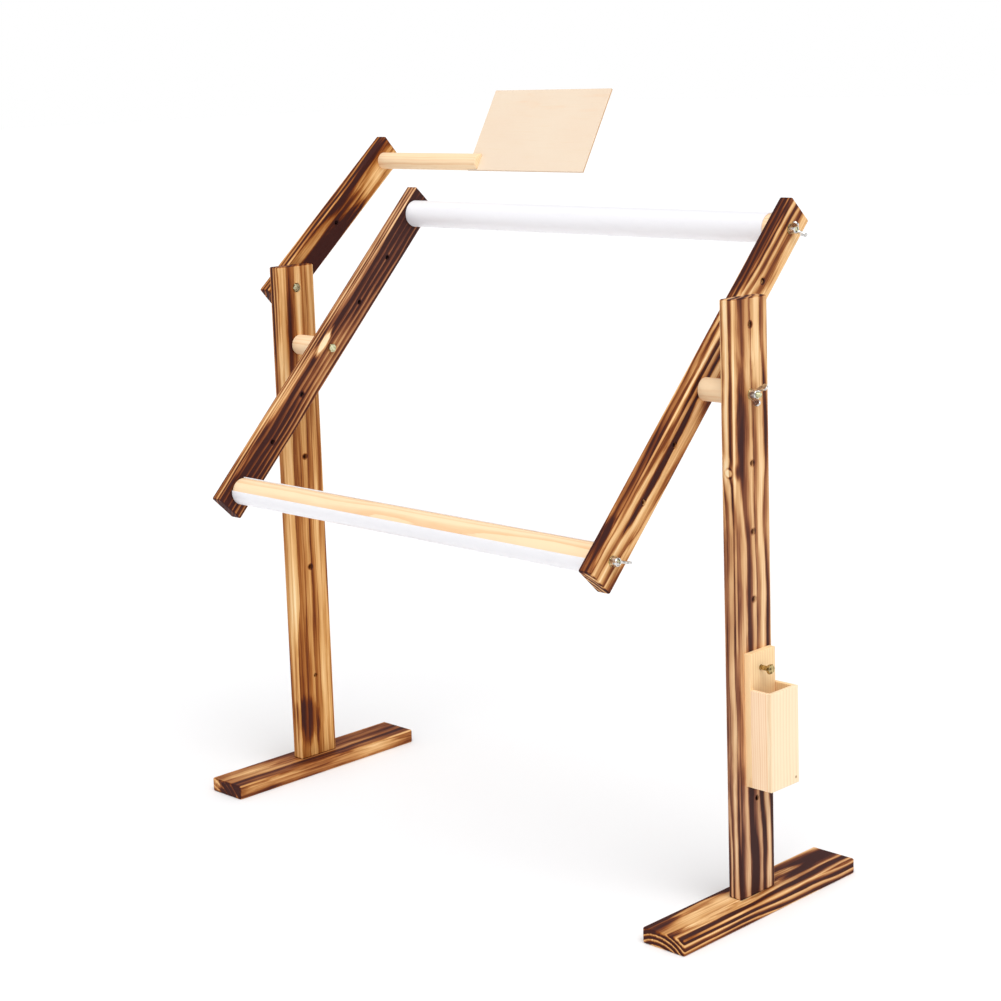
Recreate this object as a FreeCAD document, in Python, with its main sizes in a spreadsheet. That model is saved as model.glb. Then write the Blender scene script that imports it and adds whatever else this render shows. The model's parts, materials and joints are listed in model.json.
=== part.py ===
import FreeCAD, Part
import math
import os
import Sketcher

# A stitching frame on a floor stand: two posts on feet, a tilting frame of two arms and two
# round bars between them, a pattern holder on the left post and a tool box on the right one.
#
# Millimetres. X runs to the right, Y to the back and Z up. The origin is on the floor, below
# the middle of the whole object, so the posts stand a little in front of it.

# Driving dimensions: alias, value, what it is.
SIZES = [
    ("post_spacing", 750, "between the middle planes of the posts"),
    ("post_setback", -20.3125, "Y of the posts, which centres the whole object on the origin"),
    ("board_thickness", 18, "thickness of every post, foot and arm"),
    ("post_width", 60, "front to back"),
    ("post_length", 665, "above the foot"),
    ("foot_width", 58, "across"),
    ("foot_length", 305, "front to back"),
    ("arm_width", 42, "of the frame arms and the pattern arm"),
    ("hole_pitch", 75, "between the bolt holes of posts and frame arms"),
    ("end_margin", 29, "from the last bolt hole to the end of a post or frame arm"),
    ("hole_bore", 6.5, "clearance hole for the bolts, diameter"),
    ("board_ease", 2.2, "radius on the edges of posts, feet and arms"),
    ("arm_spacing", 622, "between the middle planes of the frame arms"),
    ("frame_angle", 46, "degrees that the frame arms rise to the back"),
    ("bar_diameter", 32, "round bars"),
    ("spacer_diameter", 26, "round sleeves on the pivot bolts"),
    ("bar_chamfer", 1, "on the ends of bars, spacers and rod"),
    ("clip_wall", 1.4, "wall of the clip-on sleeve"),
    ("upper_clip_length", 593, "of the upper sleeve"),
    ("lower_clip_length", 598, "of the lower sleeve"),
    ("clip_slot", 90, "degrees left open along the sleeve"),
    ("clip_end_gap", 1, "from the left arm to the sleeve"),
    ("clip_lip", 0.5, "radius on the sleeve's lips"),
    ("snug_gap", 0.05, "radial gap of a screwed or clipped pair"),
    ("screw_diameter", 6, "bolts, studs and nuts"),
    ("head_flats", 10, "across the flats of bolt heads and of the hexagon nut"),
    ("head_height", 4, "of a bolt head"),
    ("nut_height", 5, "of the hexagon nut"),
    ("tip_chamfer", 0.8, "on the ends of bolts and studs"),
    ("washer_diameter", 12, "outside"),
    ("washer_bore", 6.4, "inside"),
    ("washer_thickness", 1.6, ""),
    ("pivot_bolt_length", 95, "below the head"),
    ("stud_length", 56, "whole stud"),
    ("stud_depth", 30, "of the stud inside the wood"),
    ("wing_hub_base", 12, "diameter of the wing nut's hub at the washer"),
    ("wing_hub_top", 9.6, "diameter of the hub at its outer end"),
    ("wing_hub_height", 7.5, ""),
    ("wing_height", 15.4, "from the washer to the top of the wings"),
    ("wing_span", 28, "across both wings"),
    ("wing_tip_radius", 4, "round end of a wing"),
    ("wing_root_radius", 4.2, "from the axis to the root of a wing, inside the hub"),
    ("wing_root_inset", 0.6, "from either end of the hub to the root of a wing"),
    ("wing_thickness", 2.4, ""),
    ("wing_ease", 0.7, "radius on the wings' edges"),
    ("pattern_angle", 41, "degrees that the pattern arm rises to the back"),
    ("pattern_pitch", 118, "between the pattern arm's three holes"),
    ("pattern_margin", 26, "from its last hole to its end"),
    ("pattern_bolt_length", 45, "below the head"),
    ("head_recess", 3, "depth of the pocket for the pattern arm's bolt head"),
    ("head_recess_bore", 12.5, "diameter of that pocket"),
    ("rod_diameter", 22, "pattern rod"),
    ("rod_length", 188, ""),
    ("kerf_width", 3.2, "saw cut in the rod's end"),
    ("kerf_depth", 20, ""),
    ("sheet_width", 204, "pattern board, left to right"),
    ("sheet_height", 116, "pattern board, along its slope"),
    ("sheet_thickness", 3, ""),
    ("sheet_depth", 18, "how far the pattern board sits in the kerf"),
    ("sheet_drop", 12, "from the rod's middle down to the board's lower edge"),
    ("sheet_angle", 60, "degrees that the pattern board rises to the back"),
    ("sheet_ease", 0.4, "radius on the pattern board's edges"),
    ("box_width", 49, "tool box, front to back"),
    ("box_offset", 5.5, "from the bolt to the middle of the box, to the back"),
    ("box_plate", 8, "thickness of its back plate"),
    ("box_plate_height", 150, ""),
    ("box_hole_drop", 18, "from the top of the back plate to its bolt"),
    ("box_wall", 5, "thickness of its walls and floor"),
    ("box_height", 110, "of its walls"),
    ("box_inside", 22, "depth of the pocket, left to right"),
    ("box_ease", 0.5, "radius on the edges of its panels"),
    ("box_bolt_length", 45, "below the head"),
    ("box_bolt_stand", 15, "how far the bolt stands out of the back plate"),
    ("foot_screw_diameter", 4, ""),
    ("foot_screw_length", 45, ""),
    ("foot_screw_head", 8, "diameter of its countersunk head"),
    ("foot_screw_drive", 1.2, "radius of the recess in its head"),
    ("foot_screw_drive_depth", 2, ""),
    ("foot_screw_point", 5, "length of its point"),
    ("foot_screw_spacing", 32, "between the two screws of a foot"),
    ("foot_screw_bore", 4.2, "hole for it in the foot, diameter"),
    ("foot_screw_sink", 0.4, "how far its head is sunk below the sole"),
    ("spare_depth", 2, "how much deeper a pilot hole is than its screw"),
]

# The bolt holes of a post, in steps of the pitch down from its top hole. One step is left solid.
POST_HOLES = [0, 1, 2, 3, 4, 5, 7]
# How many bolt holes a frame arm and the pattern arm have.
ARM_HOLES = 7
PATTERN_HOLES = 3
# Which hole of a post carries what, in the same steps.
PATTERN_HOLE = 0
PIVOT_HOLE = 1
TOOL_BOX_HOLE = 5

# How far each wing nut is turned about its bolt, in degrees, as left by hand.
WING_TURN = {
    "left_pivot": 20,
    "right_pivot": 50,
    "upper_left": 75,
    "upper_right": 140,
    "lower_left": 46,
    "lower_right": -8,
    "pattern_arm": 60,
    "pattern_rod": 15,
}
# How far each sleeve's slot is turned about its bar, in degrees from facing up and to the front.
CLIP_TURN = {"upper": 180, "lower": -10}

X_AXIS = FreeCAD.Vector(1, 0, 0)
Y_AXIS = FreeCAD.Vector(0, 1, 0)
Z_AXIS = FreeCAD.Vector(0, 0, 1)
SIDES = {"left": -1, "right": 1}

doc = FreeCAD.newDocument("StitchingFrame")
sheet = doc.addObject("Spreadsheet::Sheet", "Sizes")
for row, (alias, amount, meaning) in enumerate(SIZES, start=1):
    sheet.set(f"A{row}", str(amount))
    sheet.setAlias(f"A{row}", alias)
    sheet.set(f"B{row}", meaning)
doc.recompute()

sub_parts = []


def size(alias):
    """The value of one driving dimension."""
    return float(sheet.get(alias))


def place(x, y, z, rotation=FreeCAD.Rotation()):
    """A placement at a point of the stand, whose posts stand at y = 0."""
    return FreeCAD.Placement(FreeCAD.Vector(x, y + size("post_setback"), z), rotation)


def turn(axis, degrees):
    return FreeCAD.Rotation(axis, degrees)


def keep(item, label, placement):
    """Name a finished sub-part, put it in its place and list it for export."""
    item.Label = label
    item.Placement = placement
    sub_parts.append(item)
    return item


# ---------------------------------------------------------------- sketch and solid helpers

def new_body(label):
    return doc.addObject("PartDesign::Body", f"{label}_body")


def new_sketch(body, role, offset=0):
    """A sketch on one of the body's own origin planes, moved along its normal by offset."""
    planes = {feature.Role: feature for feature in body.Origin.OriginFeatures}
    sketch = body.newObject("Sketcher::SketchObject", f"{body.Name}_sketch")
    sketch.AttachmentSupport = (planes[role], [""])
    sketch.MapMode = "FlatFace"
    sketch.AttachmentOffset = FreeCAD.Placement(FreeCAD.Vector(0, 0, offset), FreeCAD.Rotation())
    return sketch


def bind(sketch, kind, expression, guess, *places):
    """Add a dimension that starts at a guess and takes its value from an expression of the sheet."""
    index = sketch.addConstraint(Sketcher.Constraint(kind, *places, guess))
    sketch.setExpression(f"Constraints[{index}]", expression)


def add_polygon(sketch, corners):
    """A closed outline of straight lines through corners, given as pairs of expressions."""
    first = sketch.GeometryCount
    count = len(corners)
    points = []
    for index in range(count):
        angle = 2 * math.pi * index / count
        points.append(FreeCAD.Vector(10 * math.cos(angle), 10 * math.sin(angle), 0))
    for index, point in enumerate(points):
        sketch.addGeometry(Part.LineSegment(point, points[(index + 1) % count]))
    for index in range(count):
        following = first + (index + 1) % count
        sketch.addConstraint(Sketcher.Constraint("Coincident", first + index, 2, following, 1))
    for index, (across, up) in enumerate(corners):
        bind(sketch, "DistanceX", across, points[index].x, -1, 1, first + index, 1)
        bind(sketch, "DistanceY", up, points[index].y, -1, 1, first + index, 1)


def add_rectangle(sketch, left, bottom, right, top):
    add_polygon(sketch, [(left, bottom), (right, bottom), (right, top), (left, top)])


def add_circle(sketch, across, up, diameter):
    """A circle whose centre and diameter are expressions of the sheet."""
    index = sketch.addGeometry(Part.Circle(FreeCAD.Vector(1, 1, 0), Z_AXIS, 1))
    bind(sketch, "DistanceX", across, 1, -1, 1, index, 3)
    bind(sketch, "DistanceY", up, 1, -1, 1, index, 3)
    bind(sketch, "Diameter", diameter, 2, index)


def pad(body, sketch, length, midplane=True):
    feature = body.newObject("PartDesign::Pad", f"{body.Name}_pad")
    feature.Profile = sketch
    feature.Midplane = midplane
    feature.setExpression("Length", length)
    doc.recompute()
    return feature


def pocket(body, sketch, length, midplane=False):
    """Cut a sketch into the body, against the sketch's normal, and make sure that it cuts."""
    before = body.Shape.Volume
    feature = body.newObject("PartDesign::Pocket", f"{body.Name}_pocket")
    feature.Profile = sketch
    feature.Midplane = midplane
    feature.setExpression("Length", length)
    doc.recompute()
    if body.Shape.Volume > before - 1:
        raise RuntimeError(f"{body.Name}: a pocket removed nothing")
    return feature


def ease_edges(body, edge_test, radius):
    """Round those edges of the body's last feature that pass edge_test."""
    base = body.Tip
    names = [f"Edge{n}" for n, edge in enumerate(base.Shape.Edges, start=1) if edge_test(edge)]
    fillet = body.newObject("PartDesign::Fillet", f"{body.Name}_ease")
    fillet.Base = (base, names)
    fillet.setExpression("Radius", radius)
    doc.recompute()
    return fillet


def on_outside(shape):
    """An edge test: straight edges that lie on two outer faces of a block."""
    block = shape.BoundBox
    limits = [(block.XMin, block.XMax), (block.YMin, block.YMax), (block.ZMin, block.ZMax)]

    def test(edge):
        box = edge.BoundBox
        spans = [(box.XMin, box.XMax), (box.YMin, box.YMax), (box.ZMin, box.ZMax)]
        touching = 0
        for (low, high), (floor, ceiling) in zip(spans, limits):
            flat = high - low < 0.01
            at_limit = abs(low - floor) < 0.01 or abs(high - ceiling) < 0.01
            touching += flat and at_limit
        return touching >= 2

    return test


def turn_about_x(body, sketch):
    """Turn a sketch about the X axis, added to the body."""
    revolution = body.newObject("PartDesign::Revolution", f"{body.Name}_turn")
    revolution.Profile = sketch
    revolution.ReferenceAxis = (sketch, ["H_Axis"])
    revolution.Angle = 360
    doc.recompute()


def turned_body(label, corners):
    """A body turned about the X axis from an outline of (along, radius) expressions."""
    body = new_body(label)
    sketch = new_sketch(body, "XY_Plane")
    add_polygon(sketch, corners)
    turn_about_x(body, sketch)
    return body


# ---------------------------------------------------------------------------- wooden boards

def board(label, length, width, holes=()):
    """A plank along Y from its low end, with bolt holes through X at distances from that end."""
    body = new_body(label)
    sketch = new_sketch(body, "YZ_Plane")
    add_rectangle(sketch, "0", f"-{width} / 2", length, f"{width} / 2")
    for along in holes:
        add_circle(sketch, along, "0", "Sizes.hole_bore")
    pad(body, sketch, "Sizes.board_thickness")
    ease_edges(body, on_outside(body.Shape), "Sizes.board_ease")
    return body


def make_foot(side):
    """A foot: it lies flat, and two screws come up through it into the post."""
    body = board(f"{side}_foot", "Sizes.foot_length", "Sizes.foot_width")
    sole = size("board_thickness") / 2
    sketch = new_sketch(body, "YZ_Plane", sole)
    for sign in ("-", "+"):
        middle = f"Sizes.foot_length / 2 {sign} Sizes.foot_screw_spacing / 2"
        add_circle(sketch, middle, "0", "Sizes.foot_screw_bore")
    pocket(body, sketch, "Sizes.board_thickness")
    drilled = body.Tip
    rims = []
    for number, edge in enumerate(drilled.Shape.Edges, start=1):
        box = edge.BoundBox
        on_sole = box.XLength < 0.01 and abs(box.XMin - sole) < 0.01
        if on_sole and abs(box.YLength - size("foot_screw_bore")) < 0.01:
            rims.append(f"Edge{number}")
    countersink = body.newObject("PartDesign::Chamfer", f"{body.Name}_countersink")
    countersink.Base = (drilled, rims)
    rim_width = "(Sizes.foot_screw_head - Sizes.foot_screw_bore) / 2"
    countersink.setExpression("Size", f"{rim_width} + Sizes.foot_screw_sink + Sizes.snug_gap")
    doc.recompute()
    x = SIDES[side] * size("post_spacing") / 2
    rotation = turn(Y_AXIS, 90)
    keep(body, f"{side}_foot", place(x, -size("foot_length") / 2, size("board_thickness") / 2, rotation))


def make_post(side):
    """A post: its low end stands on the foot and takes the two screws."""
    top_hole = "Sizes.post_length - Sizes.end_margin"
    holes = [f"{top_hole} - {step} * Sizes.hole_pitch" for step in POST_HOLES]
    body = board(f"{side}_post", "Sizes.post_length", "Sizes.post_width", holes)
    pilots = new_sketch(body, "XZ_Plane")
    for sign in ("-", ""):
        add_circle(pilots, "0", f"{sign}Sizes.foot_screw_spacing / 2", "Sizes.foot_screw_diameter")
    pocket(body, pilots, "Sizes.foot_screw_length - Sizes.board_thickness + Sizes.spare_depth")
    if side == "left":
        recess = new_sketch(body, "YZ_Plane", size("board_thickness") / 2)
        add_circle(recess, f"{top_hole} - {PATTERN_HOLE} * Sizes.hole_pitch", "0",
                   "Sizes.head_recess_bore")
        pocket(body, recess, "Sizes.head_recess")
    x = SIDES[side] * size("post_spacing") / 2
    keep(body, f"{side}_post", place(x, 0, size("board_thickness"), turn(X_AXIS, 90)))


def make_frame_arm(side):
    """A frame arm, which tilts about its middle hole."""
    length = f"(2 * Sizes.end_margin + {ARM_HOLES - 1} * Sizes.hole_pitch)"
    holes = [f"Sizes.end_margin + {step} * Sizes.hole_pitch" for step in range(ARM_HOLES)]
    body = board(f"{side}_arm", length, "Sizes.arm_width", holes)
    middle = size("end_margin") + (ARM_HOLES // 2) * size("hole_pitch")
    x = SIDES[side] * size("arm_spacing") / 2
    keep(body, f"{side}_arm", on_frame(x, -middle, turn(X_AXIS, size("frame_angle"))))


def make_pattern_arm():
    """The pattern holder's arm, outside the left post, with its lower hole on the post's top hole."""
    length = f"(2 * Sizes.pattern_margin + {PATTERN_HOLES - 1} * Sizes.pattern_pitch)"
    holes = [f"Sizes.pattern_margin + {step} * Sizes.pattern_pitch" for step in range(PATTERN_HOLES)]
    body = board("pattern_arm", length, "Sizes.arm_width", holes)
    x = pattern_arm_face() - size("board_thickness") / 2
    rotation = turn(X_AXIS, size("pattern_angle"))
    keep(body, "pattern_arm", on_pattern_arm(x, -size("pattern_margin"), rotation))


# ------------------------------------------------------------------ places along the object

def hole_height(index):
    """Height of one of the posts' bolt holes, counted from the top."""
    top = size("board_thickness") + size("post_length")
    return top - size("end_margin") - index * size("hole_pitch")


def on_frame(x, along, rotation=FreeCAD.Rotation()):
    """A placement on the tilting frame, a distance along its arms from the pivot."""
    angle = math.radians(size("frame_angle"))
    z = hole_height(PIVOT_HOLE) + along * math.sin(angle)
    return place(x, along * math.cos(angle), z, rotation)


def on_pattern_arm(x, along, rotation=FreeCAD.Rotation()):
    """A placement on the pattern arm, a distance along it from its own pivot."""
    angle = math.radians(size("pattern_angle"))
    z = hole_height(PATTERN_HOLE) + along * math.sin(angle)
    return place(x, along * math.cos(angle), z, rotation)


def pattern_arm_face():
    """X of the face where the pattern arm meets the left post."""
    return -(size("post_spacing") + size("board_thickness")) / 2


def bar_reach(name):
    """Distance of the upper or the lower bar from the pivot, along the arms."""
    reach = (ARM_HOLES // 2) * size("hole_pitch")
    return reach if name == "upper" else -reach


# -------------------------------------------------------------------------------- round wood

def dowel(label, radius, length, left_depth, right_depth):
    """A round stick along X with chamfered ends, and a stud hole of its own depth in each end."""
    bore = "Sizes.screw_diameter / 2"
    chamfer = "Sizes.bar_chamfer"
    corners = [
        (left_depth, "0"),
        (left_depth, bore),
        ("0", bore),
        ("0", f"{radius} - {chamfer}"),
        (chamfer, radius),
        (f"{length} - {chamfer}", radius),
        (length, f"{radius} - {chamfer}"),
    ]
    if right_depth == "0":
        corners.append((length, "0"))
    else:
        corners.append((length, bore))
        corners.append((f"{length} - {right_depth}", bore))
        corners.append((f"{length} - {right_depth}", "0"))
    return turned_body(label, corners)


STUD_HOLE_DEPTH = "(Sizes.stud_depth + Sizes.spare_depth)"


def make_bar(name):
    """A round bar between the frame arms, with a stud hole in each end."""
    length = "(Sizes.arm_spacing - Sizes.board_thickness)"
    body = dowel(f"{name}_bar", "Sizes.bar_diameter / 2", length, STUD_HOLE_DEPTH, STUD_HOLE_DEPTH)
    x = -(size("arm_spacing") - size("board_thickness")) / 2
    keep(body, f"{name}_bar", on_frame(x, bar_reach(name)))


def make_clip(name, slot_turn):
    """The plastic sleeve of a bar: a tube along X with a slot, which faces +Z before it is turned."""
    body = new_body(f"{name}_clip")
    ring = new_sketch(body, "YZ_Plane")
    inner = "(Sizes.bar_diameter + 2 * Sizes.snug_gap)"
    outer = f"({inner} + 2 * Sizes.clip_wall)"
    add_circle(ring, "0", "0", outer)
    add_circle(ring, "0", "0", inner)
    length = f"Sizes.{name}_clip_length"
    pad(body, ring, length, midplane=False)
    slot = new_sketch(body, "YZ_Plane", size(f"{name}_clip_length"))
    half_width = f"{outer} * tan(Sizes.clip_slot * 1deg / 2)"
    add_polygon(slot, [("0", "0"), (half_width, outer), (f"-{half_width}", outer)])
    pocket(body, slot, length)

    def is_lip(edge):
        box = edge.BoundBox
        runs_along = box.XLength > size(f"{name}_clip_length") - 0.01
        return runs_along and box.ZMin > 0 and abs(edge.CenterOfMass.y) > 1

    ease_edges(body, is_lip, "Sizes.clip_lip")
    x = -(size("arm_spacing") - size("board_thickness")) / 2 + size("clip_end_gap")
    rotation = turn(X_AXIS, size("frame_angle") + slot_turn)
    keep(body, f"{name}_clip", on_frame(x, bar_reach(name), rotation))


def make_spacer(side):
    """The round sleeve on the pivot bolt, between a frame arm and its post."""
    length = "((Sizes.post_spacing - Sizes.arm_spacing) / 2 - Sizes.board_thickness)"
    radius = "Sizes.spacer_diameter / 2"
    bore = "Sizes.hole_bore / 2"
    chamfer = "Sizes.bar_chamfer"
    body = turned_body(f"{side}_spacer", [
        ("0", bore),
        ("0", f"{radius} - {chamfer}"),
        (chamfer, radius),
        (f"{length} - {chamfer}", radius),
        (length, f"{radius} - {chamfer}"),
        (length, bore),
    ])
    inner_face = (size("arm_spacing") + size("board_thickness")) / 2
    outer_face = (size("post_spacing") - size("board_thickness")) / 2
    x = inner_face if side == "right" else -outer_face
    keep(body, f"{side}_spacer", on_frame(x, 0))


def make_pattern_rod():
    """The pattern rod: a stud hole at the arm, and a saw kerf for the board at its free end."""
    body = dowel("pattern_rod", "Sizes.rod_diameter / 2", "Sizes.rod_length", STUD_HOLE_DEPTH, "0")
    kerf = new_sketch(body, "XY_Plane")
    half = "Sizes.kerf_width / 2"
    start = "Sizes.rod_length - Sizes.kerf_depth"
    add_rectangle(kerf, start, f"-{half}", "Sizes.rod_length + 1", half)
    pocket(body, kerf, "Sizes.rod_diameter + 2", midplane=True)
    reach = (PATTERN_HOLES - 1) * size("pattern_pitch")
    rotation = turn(X_AXIS, size("sheet_angle") - 90)
    keep(body, "pattern_rod", on_pattern_arm(pattern_arm_face(), reach, rotation))


def make_pattern_board():
    """The thin board that carries the pattern. It stands in the rod's kerf, upright before it is tilted."""
    body = new_body("pattern_board")
    outline = new_sketch(body, "XZ_Plane")
    top = "Sizes.sheet_height - Sizes.sheet_drop"
    add_rectangle(outline, "0", "-Sizes.sheet_drop", "Sizes.sheet_width", top)
    pad(body, outline, "Sizes.sheet_thickness")
    ease_edges(body, on_outside(body.Shape), "Sizes.sheet_ease")
    x = pattern_arm_face() + size("rod_length") - size("sheet_depth")
    reach = (PATTERN_HOLES - 1) * size("pattern_pitch")
    rotation = turn(X_AXIS, size("sheet_angle") - 90)
    keep(body, "pattern_board", on_pattern_arm(x, reach, rotation))


# --------------------------------------------------------------------------------- hardware

def cylinder(name, radius, height, along="0"):
    """A cylinder along +Z that starts at a height along the axis."""
    item = doc.addObject("Part::Cylinder", name)
    item.setExpression("Radius", radius)
    item.setExpression("Height", height)
    item.setExpression("Placement.Base.z", along)
    return item


def cone(name, low_radius, high_radius, height, along):
    item = doc.addObject("Part::Cone", name)
    item.setExpression("Radius1", low_radius)
    item.setExpression("Radius2", high_radius)
    item.setExpression("Height", height)
    item.setExpression("Placement.Base.z", along)
    return item


# A turned hexagon: its blank is wider than the corners, which are turned off at the end face.
HEXAGON_BLANK = "(0.6 * Sizes.head_flats)"
HEXAGON_FACE = "(0.475 * Sizes.head_flats)"
HEXAGON_RISE = "(0.07 * Sizes.head_flats)"


def turned_hexagon(name, height, both_ends):
    """A hexagon that rises from z = 0, its corners turned off at the top or at both ends."""
    prism = doc.addObject("Part::Prism", f"{name}_prism")
    prism.Polygon = 6
    prism.setExpression("Circumradius", "Sizes.head_flats / sqrt(3)")
    prism.setExpression("Height", height)
    start = HEXAGON_RISE if both_ends else "0"
    top = f"{height} - {HEXAGON_RISE}"
    turned = [
        cylinder(f"{name}_middle", HEXAGON_BLANK, f"{top} - {start}", start),
        cone(f"{name}_top", HEXAGON_BLANK, HEXAGON_FACE, HEXAGON_RISE, top),
    ]
    if both_ends:
        turned.append(cone(f"{name}_bottom", HEXAGON_FACE, HEXAGON_BLANK, HEXAGON_RISE, "0"))
    blank = doc.addObject("Part::MultiFuse", f"{name}_blank")
    blank.Shapes = turned
    hexagon = doc.addObject("Part::MultiCommon", f"{name}_hexagon")
    hexagon.Shapes = [prism, blank]
    return hexagon


SHANK_RADIUS = "(Sizes.screw_diameter / 2 - Sizes.snug_gap)"


def hexagon_bolt(label, length, placement):
    """A bolt along Z: the head rises from z = 0, and the shank hangs below it."""
    head = turned_hexagon(f"{label}_head", "Sizes.head_height", both_ends=False)
    shank = cylinder(f"{label}_shank", SHANK_RADIUS, f"{length} - Sizes.tip_chamfer",
                     f"-{length} + Sizes.tip_chamfer")
    tip = cone(f"{label}_tip", f"{SHANK_RADIUS} - Sizes.tip_chamfer", SHANK_RADIUS, "Sizes.tip_chamfer",
               f"-{length}")
    bolt = doc.addObject("Part::MultiFuse", f"{label}_bolt_solid")
    bolt.Shapes = [head, shank, tip]
    doc.recompute()
    keep(bolt, label, placement)


def stud(label, placement):
    """A headless stud along +Z, chamfered at both ends."""
    shank = cylinder(f"{label}_shank", SHANK_RADIUS, "Sizes.stud_length - 2 * Sizes.tip_chamfer",
                     "Sizes.tip_chamfer")
    small = f"{SHANK_RADIUS} - Sizes.tip_chamfer"
    low_tip = cone(f"{label}_low_tip", small, SHANK_RADIUS, "Sizes.tip_chamfer", "0")
    high_tip = cone(f"{label}_high_tip", SHANK_RADIUS, small, "Sizes.tip_chamfer",
                    "Sizes.stud_length - Sizes.tip_chamfer")
    item = doc.addObject("Part::MultiFuse", f"{label}_solid")
    item.Shapes = [low_tip, shank, high_tip]
    doc.recompute()
    keep(item, label, placement)


def washer(label, placement):
    """A flat washer that rises from z = 0."""
    disc = cylinder(f"{label}_disc", "Sizes.washer_diameter / 2", "Sizes.washer_thickness")
    bore = cylinder(f"{label}_bore", "Sizes.washer_bore / 2", "3 * Sizes.washer_thickness",
                    "-Sizes.washer_thickness")
    item = doc.addObject("Part::Cut", f"{label}_solid")
    item.Base = disc
    item.Tool = bore
    doc.recompute()
    keep(item, label, placement)


def hexagon_nut(label, placement):
    """A nut that rises from z = 0."""
    blank = turned_hexagon(f"{label}_blank", "Sizes.nut_height", both_ends=True)
    bore = cylinder(f"{label}_bore", "Sizes.screw_diameter / 2", "3 * Sizes.nut_height", "-Sizes.nut_height")
    item = doc.addObject("Part::Cut", f"{label}_solid")
    item.Base = blank
    item.Tool = bore
    doc.recompute()
    keep(item, label, placement)


def add_wing_outline(sketch):
    """Both wings in one outline: straight flanks that meet the round tips without a corner."""
    radius = size("wing_tip_radius")
    root_y = size("wing_root_radius")
    low_x = size("wing_root_inset")
    high_x = size("wing_hub_height") - low_x
    centre = FreeCAD.Vector(size("wing_height") - radius, size("wing_span") / 2 - radius, 0)

    def touch_angle(root_x, side):
        """Angle at which a line from a root touches the upper tip's circle."""
        away = FreeCAD.Vector(root_x, root_y, 0) - centre
        return math.atan2(away.y, away.x) + side * math.acos(radius / away.Length)

    high_angle = touch_angle(high_x, 1)
    low_angle = touch_angle(low_x, -1) + 2 * math.pi
    flanks = {}
    for ear, sign in ((1, ""), (-1, "-")):
        middle = FreeCAD.Vector(centre.x, ear * centre.y, 0)
        start, end = (high_angle, low_angle) if ear > 0 else (-low_angle, -high_angle)
        tip = sketch.addGeometry(Part.ArcOfCircle(Part.Circle(middle, Z_AXIS, radius), start, end))
        bind(sketch, "Radius", "Sizes.wing_tip_radius", radius, tip)
        bind(sketch, "DistanceX", "Sizes.wing_height - Sizes.wing_tip_radius", middle.x, -1, 1, tip, 3)
        span = f"{sign}(Sizes.wing_span / 2 - Sizes.wing_tip_radius)"
        bind(sketch, "DistanceY", span, middle.y, -1, 1, tip, 3)
        tip_end = {"high": 1, "low": 2} if ear > 0 else {"high": 2, "low": 1}
        for name, root_x, angle in (("high", high_x, high_angle), ("low", low_x, low_angle)):
            root = FreeCAD.Vector(root_x, ear * root_y, 0)
            touch = middle + FreeCAD.Vector(math.cos(angle), ear * math.sin(angle), 0) * radius
            flank = sketch.addGeometry(Part.LineSegment(root, touch))
            sketch.addConstraint(Sketcher.Constraint("Tangent", flank, 2, tip, tip_end[name]))
            bind(sketch, "DistanceY", f"{sign}Sizes.wing_root_radius", root.y, -1, 1, flank, 1)
            flanks[name, ear] = flank
    for name, root_x in (("high", high_x), ("low", low_x)):
        upper = FreeCAD.Vector(root_x, root_y, 0)
        lower = FreeCAD.Vector(root_x, -root_y, 0)
        waist = sketch.addGeometry(Part.LineSegment(upper, lower))
        sketch.addConstraint(Sketcher.Constraint("Coincident", waist, 1, flanks[name, 1], 1))
        sketch.addConstraint(Sketcher.Constraint("Coincident", waist, 2, flanks[name, -1], 1))
        sketch.addConstraint(Sketcher.Constraint("Vertical", waist))
    bind(sketch, "DistanceX", "Sizes.wing_root_inset", low_x, -1, 1, flanks["low", 1], 1)
    reach = "Sizes.wing_hub_height - Sizes.wing_root_inset"
    bind(sketch, "DistanceX", reach, high_x, -1, 1, flanks["high", 1], 1)


def wing_nut(label, placement):
    """A wing nut along X: its hub starts at x = 0, and its two wings rise past the hub."""
    body = new_body(label)
    outline = new_sketch(body, "XY_Plane")
    add_wing_outline(outline)
    pad(body, outline, "Sizes.wing_thickness")

    def is_wing_rim(edge):
        box = edge.BoundBox
        on_a_side = box.ZLength < 0.01
        return on_a_side and max(box.YMax, -box.YMin) > size("wing_root_radius") + 0.01

    ease_edges(body, is_wing_rim, "Sizes.wing_ease")
    hub = new_sketch(body, "XY_Plane")
    add_polygon(hub, [
        ("0", "0"),
        ("0", "Sizes.wing_hub_base / 2"),
        ("Sizes.wing_hub_height", "Sizes.wing_hub_top / 2"),
        ("Sizes.wing_hub_height", "0"),
    ])
    turn_about_x(body, hub)
    bore = new_sketch(body, "YZ_Plane")
    add_circle(bore, "0", "0", "Sizes.screw_diameter")
    pocket(body, bore, "4 * Sizes.wing_hub_height", midplane=True)
    keep(body, label, placement)


def clamp_set(name, seat, reach_x, turn_degrees):
    """A washer and a wing nut on the outer face of a board: seat is a function of x."""
    outward = 1 if reach_x > 0 else -1
    along_x = turn(Y_AXIS, 90 * outward)
    washer(f"{name}_washer", seat(reach_x, along_x))
    nut_x = reach_x + outward * size("washer_thickness")
    facing = FreeCAD.Rotation() if outward > 0 else turn(Z_AXIS, 180)
    wing_nut(f"{name}_wing_nut", seat(nut_x, turn(X_AXIS, turn_degrees) * facing))


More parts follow.
